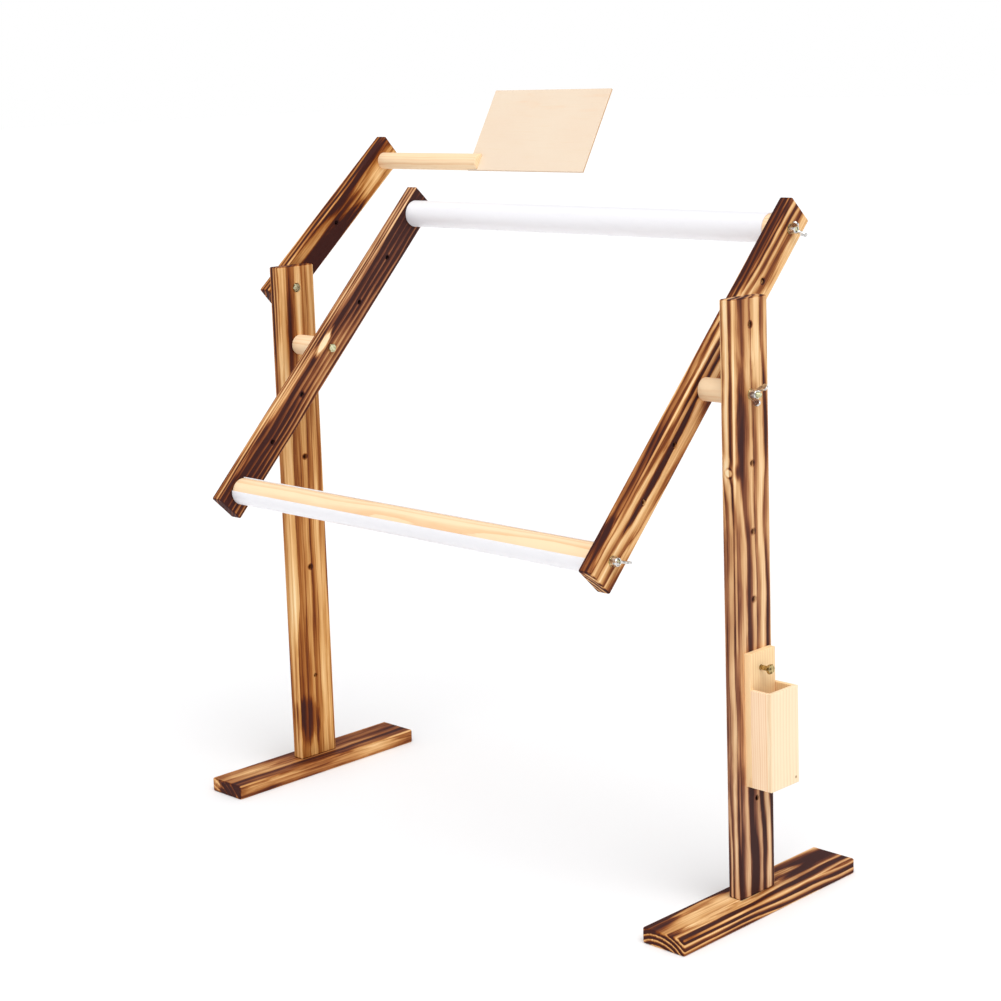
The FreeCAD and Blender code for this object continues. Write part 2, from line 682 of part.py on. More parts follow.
def make_pivot_hardware(side):
    """The bolt through arm, spacer and post, with its washer and wing nut outside the post."""
    outward = SIDES[side]
    arm_face = outward * (size("arm_spacing") - size("board_thickness")) / 2
    post_face = outward * (size("post_spacing") + size("board_thickness")) / 2
    head_inward = turn(Y_AXIS, -90 * outward)
    hexagon_bolt(f"{side}_pivot_bolt", "Sizes.pivot_bolt_length", on_frame(arm_face, 0, head_inward))

    def seat(x, rotation):
        return on_frame(x, 0, rotation)

    clamp_set(f"{side}_pivot", seat, post_face, WING_TURN[f"{side}_pivot"])


def make_bar_hardware(name, side):
    """The stud in one end of a bar, with its washer and wing nut outside the frame arm."""
    outward = SIDES[side]
    bar_end = outward * (size("arm_spacing") - size("board_thickness")) / 2
    arm_face = outward * (size("arm_spacing") + size("board_thickness")) / 2

    def seat(x, rotation):
        return on_frame(x, bar_reach(name), rotation)

    start = bar_end - outward * size("stud_depth")
    stud(f"{name}_{side}_stud", seat(start, turn(Y_AXIS, 90 * outward)))
    clamp_set(f"{name}_{side}", seat, arm_face, WING_TURN[f"{name}_{side}"])


def make_pattern_hardware():
    """The pattern arm's bolt, the rod's stud, and the washer and wing nut of each."""
    recess_floor = pattern_arm_face() + size("board_thickness") - size("head_recess")
    outer_face = pattern_arm_face() - size("board_thickness")
    reach = (PATTERN_HOLES - 1) * size("pattern_pitch")
    hexagon_bolt("pattern_arm_bolt", "Sizes.pattern_bolt_length",
                 on_pattern_arm(recess_floor, 0, turn(Y_AXIS, 90)))

    def pivot_seat(x, rotation):
        return on_pattern_arm(x, 0, rotation)

    def rod_seat(x, rotation):
        return on_pattern_arm(x, reach, rotation)

    clamp_set("pattern_arm", pivot_seat, outer_face, WING_TURN["pattern_arm"])
    stud("pattern_rod_stud", rod_seat(pattern_arm_face() + size("stud_depth"), turn(Y_AXIS, -90)))
    clamp_set("pattern_rod", rod_seat, outer_face, WING_TURN["pattern_rod"])


def make_foot_screws():
    """Four countersunk wood screws, two up through each foot, kept together as one sub-part."""
    screws = []
    tip = "Sizes.foot_screw_length"
    thread = "(Sizes.foot_screw_diameter / 2 - Sizes.snug_gap)"
    head = "Sizes.foot_screw_head / 2"
    for side, outward in SIDES.items():
        for order, sign in (("front", -1), ("rear", 1)):
            body = turned_body(f"{side}_{order}_screw", [
                ("0", "Sizes.foot_screw_drive"),
                ("0", head),
                (f"{head} - {thread}", thread),
                (f"{tip} - Sizes.foot_screw_point", thread),
                (tip, "0"),
                ("Sizes.foot_screw_drive_depth", "0"),
            ])
            x = outward * size("post_spacing") / 2
            y = sign * size("foot_screw_spacing") / 2
            body.Placement = place(x, y, size("foot_screw_sink"), turn(Y_AXIS, -90))
            screws.append(body)
    group = doc.addObject("Part::Compound", "foot_screw_group")
    group.Links = screws
    doc.recompute()
    group.Label = "foot_screws"
    sub_parts.append(group)


# --------------------------------------------------------------------------------- tool box

def panel(label, depth, width, height, x, y, z):
    """A flat panel with its low corner at x, y, z: depth is along X, width along Y."""
    body = new_body(label)
    outline = new_sketch(body, "XY_Plane")
    add_rectangle(outline, "0", "0", depth, width)
    pad(body, outline, height, midplane=False)
    ease_edges(body, on_outside(body.Shape), "Sizes.box_ease")
    keep(body, label, place(x, y, z))
    return body


def make_tool_box():
    """The box on the right post: a back plate on one bolt, with a narrow pocket in front of it."""
    post_face = (size("post_spacing") + size("board_thickness")) / 2
    plate_face = post_face + size("box_plate")
    front_wall = plate_face + size("box_inside")
    near = size("box_offset") - size("box_width") / 2
    far = size("box_offset") + size("box_width") / 2
    bolt_height = hole_height(TOOL_BOX_HOLE)
    low = bolt_height + size("box_hole_drop") - size("box_plate_height")
    wall = size("box_wall")
    inside_width = "(Sizes.box_width - 2 * Sizes.box_wall)"

    plate = panel("tool_box_back", "Sizes.box_plate", "(Sizes.box_width - Sizes.box_wall)",
                  "Sizes.box_plate_height", post_face, near, low)
    hole = new_sketch(plate, "YZ_Plane", size("box_plate"))
    hole_y = "Sizes.box_width / 2 - Sizes.box_offset"
    hole_z = "Sizes.box_plate_height - Sizes.box_hole_drop"
    add_circle(hole, hole_y, hole_z, "Sizes.hole_bore")
    pocket(plate, hole, "Sizes.box_plate")
    panel("tool_box_front", "Sizes.box_wall", "Sizes.box_width", "Sizes.box_height", front_wall, near, low)
    panel("tool_box_near_side", "Sizes.box_inside", "Sizes.box_wall", "Sizes.box_height",
          plate_face, near, low)
    panel("tool_box_far_side", "(Sizes.box_plate + Sizes.box_inside)", "Sizes.box_wall",
          "Sizes.box_height", post_face, far - wall, low)
    panel("tool_box_floor", "Sizes.box_inside", inside_width, "Sizes.box_wall", plate_face, near + wall, low)

    head_seat = plate_face + size("box_bolt_stand") - size("head_height")
    hexagon_bolt("tool_box_bolt", "Sizes.box_bolt_length",
                 place(head_seat, 0, bolt_height, turn(Y_AXIS, 90)))
    inner_face = (size("post_spacing") - size("board_thickness")) / 2
    hexagon_nut("tool_box_nut", place(inner_face, 0, bolt_height, turn(Y_AXIS, -90)))


# ---------------------------------------------------------------------------- build and write

for side in SIDES:
    make_foot(side)
    make_post(side)
    make_frame_arm(side)
    make_spacer(side)
    make_pivot_hardware(side)
make_foot_screws()
for bar_name, slot_turn in CLIP_TURN.items():
    make_bar(bar_name)
    make_clip(bar_name, slot_turn)
    for side in SIDES:
        make_bar_hardware(bar_name, side)
make_pattern_arm()
make_pattern_rod()
make_pattern_board()
make_pattern_hardware()
make_tool_box()
doc.recompute()

for item in doc.Objects:
    if "Invalid" in item.State or "Error" in item.State:
        raise RuntimeError(f"{item.Label}: {item.State}")
whole = FreeCAD.BoundBox()
for item in sub_parts:
    if item.Shape.isNull() or not item.Shape.isValid() or not item.Shape.Solids:
        raise RuntimeError(f"{item.Label}: no valid solid")
    whole.add(item.Shape.optimalBoundingBox())
print(f"{len(sub_parts)} sub-parts, box {whole}")

os.makedirs("parts", exist_ok=True)
for item in sub_parts:
    item.Shape.exportStep(f"parts/{item.Label}.step")
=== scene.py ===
import json
import math

import bmesh
import bpy
from mathutils import Matrix, Vector


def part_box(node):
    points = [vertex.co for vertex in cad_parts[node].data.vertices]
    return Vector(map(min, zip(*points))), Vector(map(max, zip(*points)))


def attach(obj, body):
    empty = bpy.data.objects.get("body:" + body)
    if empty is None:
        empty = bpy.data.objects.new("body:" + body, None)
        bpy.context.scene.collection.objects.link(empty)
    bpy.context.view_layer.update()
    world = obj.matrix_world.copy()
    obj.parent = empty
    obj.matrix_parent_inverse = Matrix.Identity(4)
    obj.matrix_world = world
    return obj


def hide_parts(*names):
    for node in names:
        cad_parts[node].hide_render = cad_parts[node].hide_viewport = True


# Looks of a floor-standing stitching frame: flame-darkened pine boards, bare dowels with white
# clip-on sleeves, bright hardware. Metres. The shapes follow the frame's CAD nodes.

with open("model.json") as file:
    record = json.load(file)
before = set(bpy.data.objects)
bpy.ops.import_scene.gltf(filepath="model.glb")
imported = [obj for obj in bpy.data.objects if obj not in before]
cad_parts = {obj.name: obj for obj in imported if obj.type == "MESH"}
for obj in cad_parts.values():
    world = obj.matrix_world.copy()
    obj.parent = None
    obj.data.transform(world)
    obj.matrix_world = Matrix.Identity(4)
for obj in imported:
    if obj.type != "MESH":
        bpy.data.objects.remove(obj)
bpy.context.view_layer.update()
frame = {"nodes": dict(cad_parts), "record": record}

MM = 0.001
BODY_OF = {
    node: body
    for body, nodes in frame["record"]["behaviour"]["bodies"].items()
    for node in nodes
}

# How far the frame arms, the pattern arm and the pattern board rise to the back.
FRAME_ANGLE = math.radians(46)
PATTERN_ANGLE = math.radians(41)
SHEET_ANGLE = math.radians(60)


# --------------------------------------------------------------------------- shader helpers

# How far each step of a seed moves a noise, and how many rings it skips, so that no two boards
# share a pattern.
SEED_SHIFT = (17.3, 5.1, 9.7)
SEED_RINGS = 3.7


def srgb(red, green, blue):
    """A colour given as 0 to 255 on screen, as the linear value that nodes use."""
    def linear(value):
        value /= 255
        return value / 12.92 if value <= 0.04045 else ((value + 0.055) / 1.055) ** 2.4
    return (linear(red), linear(green), linear(blue), 1)


class Shader:
    """A material's node tree, built with short calls. Any input may be a number or a socket."""

    def __init__(self, name):
        self.material = bpy.data.materials.new(name)
        self.material.use_nodes = True
        self.tree = self.material.node_tree
        self.tree.nodes.clear()

    def node(self, kind, inputs=(), **settings):
        made = self.tree.nodes.new(kind)
        for key, value in settings.items():
            setattr(made, key, value)
        pairs = inputs.items() if isinstance(inputs, dict) else enumerate(inputs)
        for key, value in pairs:
            if isinstance(value, bpy.types.NodeSocket):
                self.tree.links.new(value, made.inputs[key])
            else:
                made.inputs[key].default_value = value
        return made

    def math(self, operation, *values, clamp=False):
        return self.node("ShaderNodeMath", values, operation=operation, use_clamp=clamp).outputs[0]

    def hypotenuse(self, first, second):
        squares = [self.math("MULTIPLY", side, side) for side in (first, second)]
        return self.math("SQRT", self.math("ADD", *squares))

    def vector(self, operation, *values):
        made = self.node("ShaderNodeVectorMath", values, operation=operation)
        scalar = operation in ("LENGTH", "DISTANCE")
        return made.outputs["Value" if scalar else "Vector"]

    def place(self):
        """The point on the piece in its own frame, in millimetres."""
        point = self.node("ShaderNodeTexCoord").outputs["Object"]
        return self.vector("SCALE", point, (0, 0, 0), (0, 0, 0), 1 / MM)

    def axes(self, vector):
        return self.node("ShaderNodeSeparateXYZ", [vector]).outputs[:]

    def noise(self, point, scale, detail=2.0, roughness=0.5):
        """Smooth noise from 0 to 1; point may be squeezed beforehand to stretch it."""
        inputs = {"Vector": point, "Scale": scale, "Detail": detail, "Roughness": roughness}
        return self.node("ShaderNodeTexNoise", inputs).outputs["Fac"]

    def grain_noise(self, point, seed, squat, scale, detail, roughness=0.5):
        """Noise drawn out along Y, the grain. squat is its width as a share of its length."""
        squeezed = self.vector("MULTIPLY", point, (1, squat, 1))
        shifted = self.vector("ADD", squeezed, [seed * step for step in SEED_SHIFT])
        return self.noise(shifted, scale, detail, roughness)

    def nudge(self, value, noise, amount, clamp=False):
        """The value moved up and down by noise, over a range of amount in all."""
        centred = self.math("SUBTRACT", noise, 0.5)
        return self.math("MULTIPLY_ADD", centred, amount, value, clamp=clamp)

    def fade(self, value, low, high, start=0.0, end=1.0):
        """A smooth step from start to end as value goes from low to high."""
        inputs = {"Value": value, "From Min": low, "From Max": high, "To Min": start, "To Max": end}
        made = self.node("ShaderNodeMapRange", inputs, interpolation_type="SMOOTHSTEP")
        return made.outputs["Result"]

    def ramp(self, factor, stops):
        made = self.node("ShaderNodeValToRGB", [factor])
        elements = made.color_ramp.elements
        while len(elements) < len(stops):
            elements.new(0.5)
        for element, (position, color) in zip(elements, stops):
            element.position = position
            element.color = color
        return made.outputs["Color"]

    def blend(self, factor, first, second, mode="MIX"):
        made = self.node("ShaderNodeMix", data_type="RGBA", blend_type=mode)
        for name, value in (("Factor", factor), ("A", first), ("B", second)):
            socket = next(s for s in made.inputs if s.name == name and s.enabled)
            if isinstance(value, bpy.types.NodeSocket):
                self.tree.links.new(value, socket)
            else:
                socket.default_value = value
        return next(s for s in made.outputs if s.enabled)

    def finish(self, color, roughness, relief=None, depth=0.0, **surface):
        """The surface itself, with a bump of the given depth where relief is given."""
        inputs = {"Base Color": color, "Roughness": roughness, **surface}
        if relief is not None:
            bump = self.node("ShaderNodeBump", {"Strength": 1.0, "Distance": depth, "Height": relief})
            inputs["Normal"] = bump.outputs["Normal"]
        shader = self.node("ShaderNodeBsdfPrincipled", inputs)
        self.node("ShaderNodeOutputMaterial", {"Surface": shader.outputs["BSDF"]})
        return self.material


# -------------------------------------------------------------------------------- wood looks

# Noises in wood: how squat they are, their scale across the grain, their detail and, where it
# isn't the usual one, their roughness.
RING_BENDS = (0.3, 0.022, 1.0)
RING_RIPPLES = (0.12, 0.2, 3.0)
RING_FRAYS = (0.05, 0.5, 3.0, 0.6)
FLAME_LICKS = (0.12, 0.16, 4.0, 0.6)
EDGE_WEAR = (0.2, 0.05, 2.0)
DARK_FIBRES = (0.015, 1.1, 3.0, 0.6)
DARK_STREAKS = (0.02, 0.4, 3.0, 0.55)
PALE_FIBRES = (0.02, 1.3, 3.0, 0.6)
PALE_CLOUDS = (0.3, 0.04, 2.0)
VENEER_CLOUDS = (0.5, 0.02, 3.0)
VENEER_FIGURE = (0.14, 0.07, 3.0, 0.6)
VENEER_FIBRES = (0.03, 1.0, 3.0)


def growth_rings(s, point, heart, pitch, waver, lean, seed, knots=()):
    """The tree's rings in a board: each ring's phase from 0 to 1, and a random value per ring.

    heart is where the tree's middle lies across the board (x, z), waver how far its rings
    wander, and lean how far it shifts for each millimetre along the board."""
    x, y, z = s.axes(point)
    across = s.math("SUBTRACT", x, heart[0])
    over = s.math("SUBTRACT", z, heart[1])
    distance = s.hypotenuse(across, over)
    distance = s.nudge(distance, s.grain_noise(point, seed, *RING_BENDS), 4 * waver)
    distance = s.nudge(distance, s.grain_noise(point, seed + 3, *RING_RIPPLES), 0.6 * waver)
    distance = s.math("MULTIPLY_ADD", y, lean, distance)
    for centre, radius in knots:
        away = s.vector("DISTANCE", point, centre)
        bend = s.fade(away, 3 * radius, 0.3 * radius, 0.0, 0.4 * radius)
        distance = s.math("ADD", distance, bend)
    rings = s.math("DIVIDE", distance, pitch)
    phase = s.math("FRACT", rings)
    ring = s.math("ADD", s.math("FLOOR", rings), seed * SEED_RINGS)
    chance = s.node("ShaderNodeTexWhiteNoise", {"W": ring}, noise_dimensions="1D").outputs["Value"]
    return phase, chance


# Colours of torched pine, from untouched to charred.
TORCHED = [
    (0.00, srgb(252, 228, 184)),
    (0.15, srgb(242, 200, 147)),
    (0.33, srgb(212, 160, 105)),
    (0.52, srgb(168, 109, 64)),
    (0.70, srgb(122, 66, 37)),
    (0.86, srgb(86, 42, 27)),
    (1.00, srgb(62, 31, 27)),
]
# On a torched board, in millimetres: how deep the flame went into the end grain, where the wear
# of an edge begins and where it is full, and where the scorch of a bolt hole begins and is full.
END_DEPTH = 1.2
EDGE_WORN = (2.4, 1.2)
HOLE_SCORCHED = (5.5, 3.5)
# As shares of one ring: where its dark part begins, just before the ring's end, how far the dark
# part fades past its own width in the next ring, how much that width differs from ring to ring,
# and how much fibres fray it.
CRISP_EDGE = (0.76, 1.04)
SOFT_TAIL = 0.28
WIDTH_SPREAD = 0.24
RING_FRAY = 0.22
# How much each of these changes the heat: patches along the board, each ring's own chance, the
# rim and the bare middle of a knot, and the scorch round a bolt hole.
PATCH_HEAT = 0.9
RING_HEAT = 0.3
KNOT_RIM_HEAT = 0.3
KNOT_CORE_HEAT = -0.35
HOLE_HEAT = 0.3
# How much of the heat is lost where an edge is worn.
EDGE_LOSS = 0.5
# How far the flame licks past a mark's reach, and over which part of the reach the mark fades.
LICK_REACH = 1.3
MARK_EDGE = (0.5, 1.15)
# How much fibres and wider streaks change the char, once it is settled.
FIBRE_CHAR = 0.14
STREAK_CHAR = 0.55


def torched_pine(name, half, heat, band, fill, pitch, heart, waver, lean, seed, rich, marks,
                 knots=(), holes=None, patch=0.25, end_heat=0.3):
    """Pine darkened with a flame. The soft part of each ring chars first, the rest stays pale.

    heat is how dark the whole board is, band how much darker its soft rings are, fill how wide
    they are. rich is how strong the colour is at the lower and the upper end. marks are places
    that got more or less of the flame: centre, reach, how much is added to heat there, and how
    much to band. knots gives their centres and radii. holes gives where the first scorched bolt
    hole is along the board, where the last one is, and their pitch. patch is how squat the
    darker and lighter patches are, and end_heat how much darker the end grain is."""
    s = Shader(name)
    point = s.place()
    x, y, z = s.axes(point)
    phase, chance = growth_rings(s, point, heart, pitch, waver, lean, seed, knots)

    phase = s.nudge(phase, s.grain_noise(point, seed + 13, *RING_FRAYS), RING_FRAY)
    width = s.nudge(fill, chance, WIDTH_SPREAD)
    soft = s.fade(phase, s.math("MULTIPLY", width, 0.3), s.math("ADD", width, SOFT_TAIL), 1.0, 0.0)
    dark_ring = s.math("MAXIMUM", soft, s.fade(phase, *CRISP_EDGE))

    glow = s.nudge(heat, s.grain_noise(point, seed + 7, patch, 0.04, 2.0), PATCH_HEAT)
    glow = s.nudge(glow, chance, RING_HEAT)
    licks = s.grain_noise(point, seed + 11, *FLAME_LICKS)
    contrast = band
    for centre, reach, more_heat, more_band in marks:
        offset = s.vector("SUBTRACT", point, centre)
        away = s.vector("LENGTH", s.vector("DIVIDE", offset, reach))
        inside = s.fade(s.nudge(away, licks, LICK_REACH), *MARK_EDGE, 1.0, 0.0)
        glow = s.math("MULTIPLY_ADD", inside, more_heat, glow)
        contrast = s.math("MULTIPLY_ADD", inside, more_band, contrast)
    for centre, radius in knots:
        away = s.vector("DISTANCE", point, centre)
        rim = s.math("MULTIPLY", s.fade(away, 0.6 * radius, radius, 0.0, KNOT_RIM_HEAT),
                     s.fade(away, radius, 1.3 * radius, 1.0, 0.0))
        core = s.fade(away, 0.9 * radius, 0.5 * radius, 0.0, KNOT_CORE_HEAT)
        glow = s.math("ADD", s.math("ADD", glow, rim), core)
    if holes:
        first, last, spacing = holes
        past_first = s.math("SUBTRACT", y, first)
        nearest = s.math("ROUND", s.math("DIVIDE", past_first, spacing))
        nearest = s.math("MINIMUM", s.math("MAXIMUM", nearest, 0.0), (last - first) / spacing)
        along = s.math("SUBTRACT", past_first, s.math("MULTIPLY", nearest, spacing))
        scorch = s.fade(s.hypotenuse(along, z), *HOLE_SCORCHED, 0.0, HOLE_HEAT)
        glow = s.math("ADD", glow, scorch)
    at_end = s.math("GREATER_THAN", s.math("ABSOLUTE", y), half.y / MM - END_DEPTH)
    glow = s.math("MULTIPLY_ADD", at_end, end_heat, glow)

    rest_x = s.math("SUBTRACT", half.x / MM, s.math("ABSOLUTE", x))
    rest_z = s.math("SUBTRACT", half.z / MM, s.math("ABSOLUTE", z))
    edge = s.fade(s.math("MAXIMUM", rest_x, rest_z), *EDGE_WORN)
    worn = s.fade(s.grain_noise(point, seed + 5, *EDGE_WEAR), 0.3, 0.55)
    edge = s.math("MULTIPLY", edge, worn)
    glow = s.math("MULTIPLY", glow, s.math("MULTIPLY_ADD", edge, -EDGE_LOSS, 1.0))

    rest = s.math("SUBTRACT", 1.0, dark_ring)
    share = s.math("SUBTRACT", 1.0, s.math("MULTIPLY", rest, contrast))
    char = s.math("MULTIPLY", s.math("MULTIPLY", glow, share), 1.25)
    fibre = s.grain_noise(point, seed, *DARK_FIBRES)
    char = s.nudge(char, fibre, FIBRE_CHAR)
    char = s.nudge(char, s.grain_noise(point, seed + 2, *DARK_STREAKS), STREAK_CHAR, clamp=True)

    relief = s.math("MULTIPLY_ADD", dark_ring, -0.6, s.math("MULTIPLY", fibre, 0.5))
    roughness = s.math("MULTIPLY_ADD", char, 0.25, 0.4)
    strength = s.fade(y, -half.y / MM, half.y / MM, *rich)
    color = s.ramp(char, TORCHED)
    color = s.node("ShaderNodeHueSaturation", {"Saturation": strength, "Color": color}).outputs[0]
    return s.finish(color, roughness, relief, 0.25 * MM, **{"Specular IOR Level": 0.12})


PALE_WAVER = 1.2
PALE_LEAN = 0.004


def pale_wood(name, light, line, heart, seed, pitch=3.2, strength=0.6, knots=()):
    """Bare sanded softwood: faint darker lines at each ring, and fine fibres."""
    s = Shader(name)
    point = s.place()
    phase, chance = growth_rings(s, point, heart, pitch, PALE_WAVER, PALE_LEAN, seed, knots)
    late = s.math("MULTIPLY", s.fade(phase, 0.35, 0.95), s.fade(phase, 0.96, 1.0, 1.0, 0.0))
    late = s.math("MULTIPLY", late, s.math("MULTIPLY_ADD", chance, 0.6, 0.4))
    fibre = s.grain_noise(point, seed, *PALE_FIBRES)
    tone = s.math("MULTIPLY", late, strength)
    tone = s.nudge(tone, s.grain_noise(point, seed + 4, *PALE_CLOUDS), 0.5)
    tone = s.nudge(tone, fibre, 0.35, clamp=True)
    color = s.blend(tone, light, line)
    for centre, radius in knots:
        away = s.vector("DISTANCE", point, centre)
        color = s.blend(s.fade(away, radius, radius * 0.4, 0.0, 0.8), color, srgb(150, 105, 60))
    relief = s.math("MULTIPLY_ADD", late, 0.3, s.math("MULTIPLY", fibre, 0.6))
    return s.finish(color, 0.55, relief, 0.1 * MM, **{"Specular IOR Level": 0.25})


# A plywood sheet's inner ply, in millimetres: where its edge begins to darken from the middle of
# the sheet's thickness, where the darkening ends, and how deep it goes into the sheet's edges.
INNER_PLY = (0.45, 0.6)
PLY_DEPTH = 0.3


def plywood(name, half):
    """A thin three-ply sheet: a blotchy pale face veneer, and a darker inner ply on its edges."""
    s = Shader(name)
    point = s.place()
    x, y, z = s.axes(point)
    cloud = s.grain_noise(point, 2, *VENEER_CLOUDS)
    flow = s.grain_noise(point, 5, *VENEER_FIGURE)
    fibre = s.grain_noise(point, 3, *VENEER_FIBRES)
    tone = s.math("MULTIPLY_ADD", s.math("SUBTRACT", cloud, 0.45), 1.4, 0.3, clamp=True)
    color = s.blend(tone, srgb(236, 218, 195), srgb(234, 210, 185))
    lines = s.fade(flow, 0.52, 0.68, 0.0, 0.5)
    upper = s.fade(z, 0.0, half.z / MM)
    color = s.blend(s.math("MULTIPLY", lines, upper), color, srgb(236, 200, 165))
    color = s.blend(s.fade(fibre, 0.5, 0.75, 0.0, 0.25), color, srgb(232, 205, 170))
    inside = s.fade(s.math("ABSOLUTE", x), *INNER_PLY, 1.0, 0.0)
    at_end = s.math("GREATER_THAN", s.math("ABSOLUTE", y), half.y / MM - PLY_DEPTH)
    at_side = s.math("GREATER_THAN", s.math("ABSOLUTE", z), half.z / MM - PLY_DEPTH)
    on_edge = s.math("MAXIMUM", at_end, at_side)
    color = s.blend(s.math("MULTIPLY", inside, on_edge), color, srgb(196, 152, 108))
    return s.finish(color, 0.6, fibre, 0.05 * MM, **{"Specular IOR Level": 0.2})


# ------------------------------------------------------------------- plastic and metal looks

def white_plastic():
    """Extruded PVC: faintly bluish white, with fine lines along its length and soft gloss."""
    s = Shader("white_plastic")
    point = s.place()
    drawn = s.noise(s.vector("MULTIPLY", point, (0.004, 1, 1)), 0.9, 2.0)
    scuff = s.noise(s.vector("MULTIPLY", point, (0.3, 1, 1)), 0.12, 4.0, 0.65)
    color = s.blend(s.fade(scuff, 0.5, 0.75, 0.0, 0.4), srgb(243, 242, 245), srgb(235, 234, 238))
    roughness = s.fade(scuff, 0.35, 0.7, 0.28, 0.45)
    return s.finish(color, roughness, drawn, 0.03 * MM,
                    **{"Subsurface Weight": 0.15, "Subsurface Radius": (2 * MM, 2 * MM, 2 * MM)})


def plated_steel(name, bright, dull, roughness, seed):
    """Plated steel: mottled plating, and fine scratches that catch the light."""
    s = Shader(name)
    point = s.place()
    mottle = s.noise(s.vector("ADD", point, (seed, seed, seed)), 0.35, 3.0)
    scratch = s.noise(s.vector("MULTIPLY", point, (1, 1, 0.15)), 3.0, 2.0)
    color = s.blend(s.fade(mottle, 0.35, 0.7), bright, dull)
    rough = s.math("MULTIPLY_ADD", scratch, 0.18, roughness)
    return s.finish(color, rough, scratch, 0.03 * MM, **{"Metallic": 1.0})


# ----------------------------------------------------------------------------- mesh helpers

SHARP_ANGLE = math.radians(35)
MERGE_DISTANCE = 0.002 * MM


def finish_mesh(mesh):
    """Merge doubled points, point the faces outwards and shade smooth except at sharp edges."""
    work = bmesh.new()
    work.from_mesh(mesh)
    bmesh.ops.remove_doubles(work, verts=work.verts, dist=MERGE_DISTANCE)
    bmesh.ops.recalc_face_normals(work, faces=work.faces)
    work.to_mesh(mesh)
    work.free()
    mesh.shade_smooth()
    mesh.set_sharp_from_angle(angle=SHARP_ANGLE)
    return mesh


def add_piece(name, mesh, matrix, material, node):
    """Show a detailed piece in place of a CAD node, on the node's body."""
    piece = bpy.data.objects.new(name, mesh)
    bpy.context.scene.collection.objects.link(piece)
    piece.matrix_world = matrix
    if not mesh.materials:
        mesh.materials.append(material)
    flat_faces = piece.modifiers.new("flat_faces", "WEIGHTED_NORMAL")
    flat_faces.keep_sharp = True
    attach(piece, BODY_OF[node])
    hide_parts(node)
    return piece


def own_frame(node, rotation):
    """A CAD node's mesh in a frame of its own, centred and turned back by rotation.

    It gives the mesh, the matrix that puts it back, and half its size along each axis."""
    mesh = frame["nodes"][node].data.copy()
    mesh.materials.clear()
    mesh.transform(rotation.inverted())
    low = Vector(min(v.co[i] for v in mesh.vertices) for i in range(3))
    high = Vector(max(v.co[i] for v in mesh.vertices) for i in range(3))
    centre = (low + high) / 2
    mesh.transform(Matrix.Translation(-centre))
    return finish_mesh(mesh), rotation @ Matrix.Translation(centre), (high - low) / 2


def turned(profile, segments=48, limit=None, closed=False):
    """A surface turned about Z from (radius, height) pairs. limit(angle) caps the radius, as a
    hexagon's flats do. A closed profile goes round a bore."""
    work = bmesh.new()
    rows = []
    for radius, height in profile:
        if radius == 0:
            rows.append([work.verts.new((0, 0, height))])
            continue
        row = []
        for step in range(segments):
            angle = 2 * math.pi * step / segments
            reach = min(radius, limit(angle)) if limit else radius
            row.append(work.verts.new((reach * math.cos(angle), reach * math.sin(angle), height)))
        rows.append(row)
    pairs = list(zip(rows, rows[1:]))
    if closed:
        pairs.append((rows[-1], rows[0]))
    for low, high in pairs:
        for step in range(segments):
            following = (step + 1) % segments
            corners = [low[step % len(low)], low[following % len(low)],
                       high[following % len(high)], high[step % len(high)]]
            corners = list(dict.fromkeys(corners))
            if len(corners) > 2:
                work.faces.new(corners)
    mesh = bpy.data.meshes.new("turned")
    work.to_mesh(mesh)
    work.free()
    return mesh


def joined(*meshes):
    """One mesh of several closed ones."""
    work = bmesh.new()
    for mesh in meshes:
        work.from_mesh(mesh)
    whole = bpy.data.meshes.new("joined")
    work.to_mesh(whole)
    work.free()
    return finish_mesh(whole)


THREAD_PITCH = 1.0 * MM
THREAD_DEPTH = 0.5 * MM
ROWS_PER_PITCH = 6
# How far a rod's ends are bevelled, and where the row that shows the bevel is.
TIP_BEVEL = 0.6 * MM
TIP_ROW = 0.4 * MM


def threaded_rod(radius, length, threads, segments=28):
    """A rod along Z from 0 with real helical threads between the given (start, end) heights."""
    heights = {0.0, length, TIP_ROW, length - TIP_ROW}
    for start, end in threads:
        count = int(round((end - start) / THREAD_PITCH * ROWS_PER_PITCH))
        heights.update(start + (end - start) * step / count for step in range(count + 1))
    work = bmesh.new()
    rows = []
    for height in sorted(heights):
        row = []
        near_tip = min(height, length - height)
        body = radius - max(0.0, TIP_BEVEL - near_tip)
        for step in range(segments):
            share = step / segments
            reach = body
            for start, end in threads:
                if start <= height <= end:
                    phase = (height / THREAD_PITCH - share) % 1
                    ease = min(1.0, (height - start) / THREAD_PITCH, (end - height) / THREAD_PITCH)
                    reach = min(body, radius - THREAD_DEPTH * ease * (1 - abs(2 * phase - 1)))
            angle = 2 * math.pi * share
            row.append(work.verts.new((reach * math.cos(angle), reach * math.sin(angle), height)))
        rows.append(row)
    for low, high in zip(rows, rows[1:]):
        for step in range(segments):
            following = (step + 1) % segments
            work.faces.new([low[step], low[following], high[following], high[step]])
    work.faces.new(list(reversed(rows[0])))
    work.faces.new(rows[-1])
    mesh = bpy.data.meshes.new("threaded")
    work.to_mesh(mesh)
    work.free()
    return mesh


def hexagon_limit(flats):
    """How far a hexagon's flats let a turned surface reach, at each angle."""
    def limit(angle):
        from_flat = (angle + math.pi / 6) % (math.pi / 3) - math.pi / 6
        return flats / 2 / math.cos(from_flat)
    return limit


# -------------------------------------------------------------------------------- hardware

def seat(node, outward):
    """The frame of a round piece of hardware: Z points outward along the piece's own axis,
    and z = 0 is at its inner end. outward is 1 towards +X and -1 towards -X."""
    low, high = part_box(node)
    start = low.x if outward > 0 else high.x
    centre = Vector((start, (low.y + high.y) / 2, (low.z + high.z) / 2))
    turn = Matrix.Rotation(math.radians(90 * outward), 4, "Y")
    return Matrix.Translation(centre) @ turn, high.x - low.x


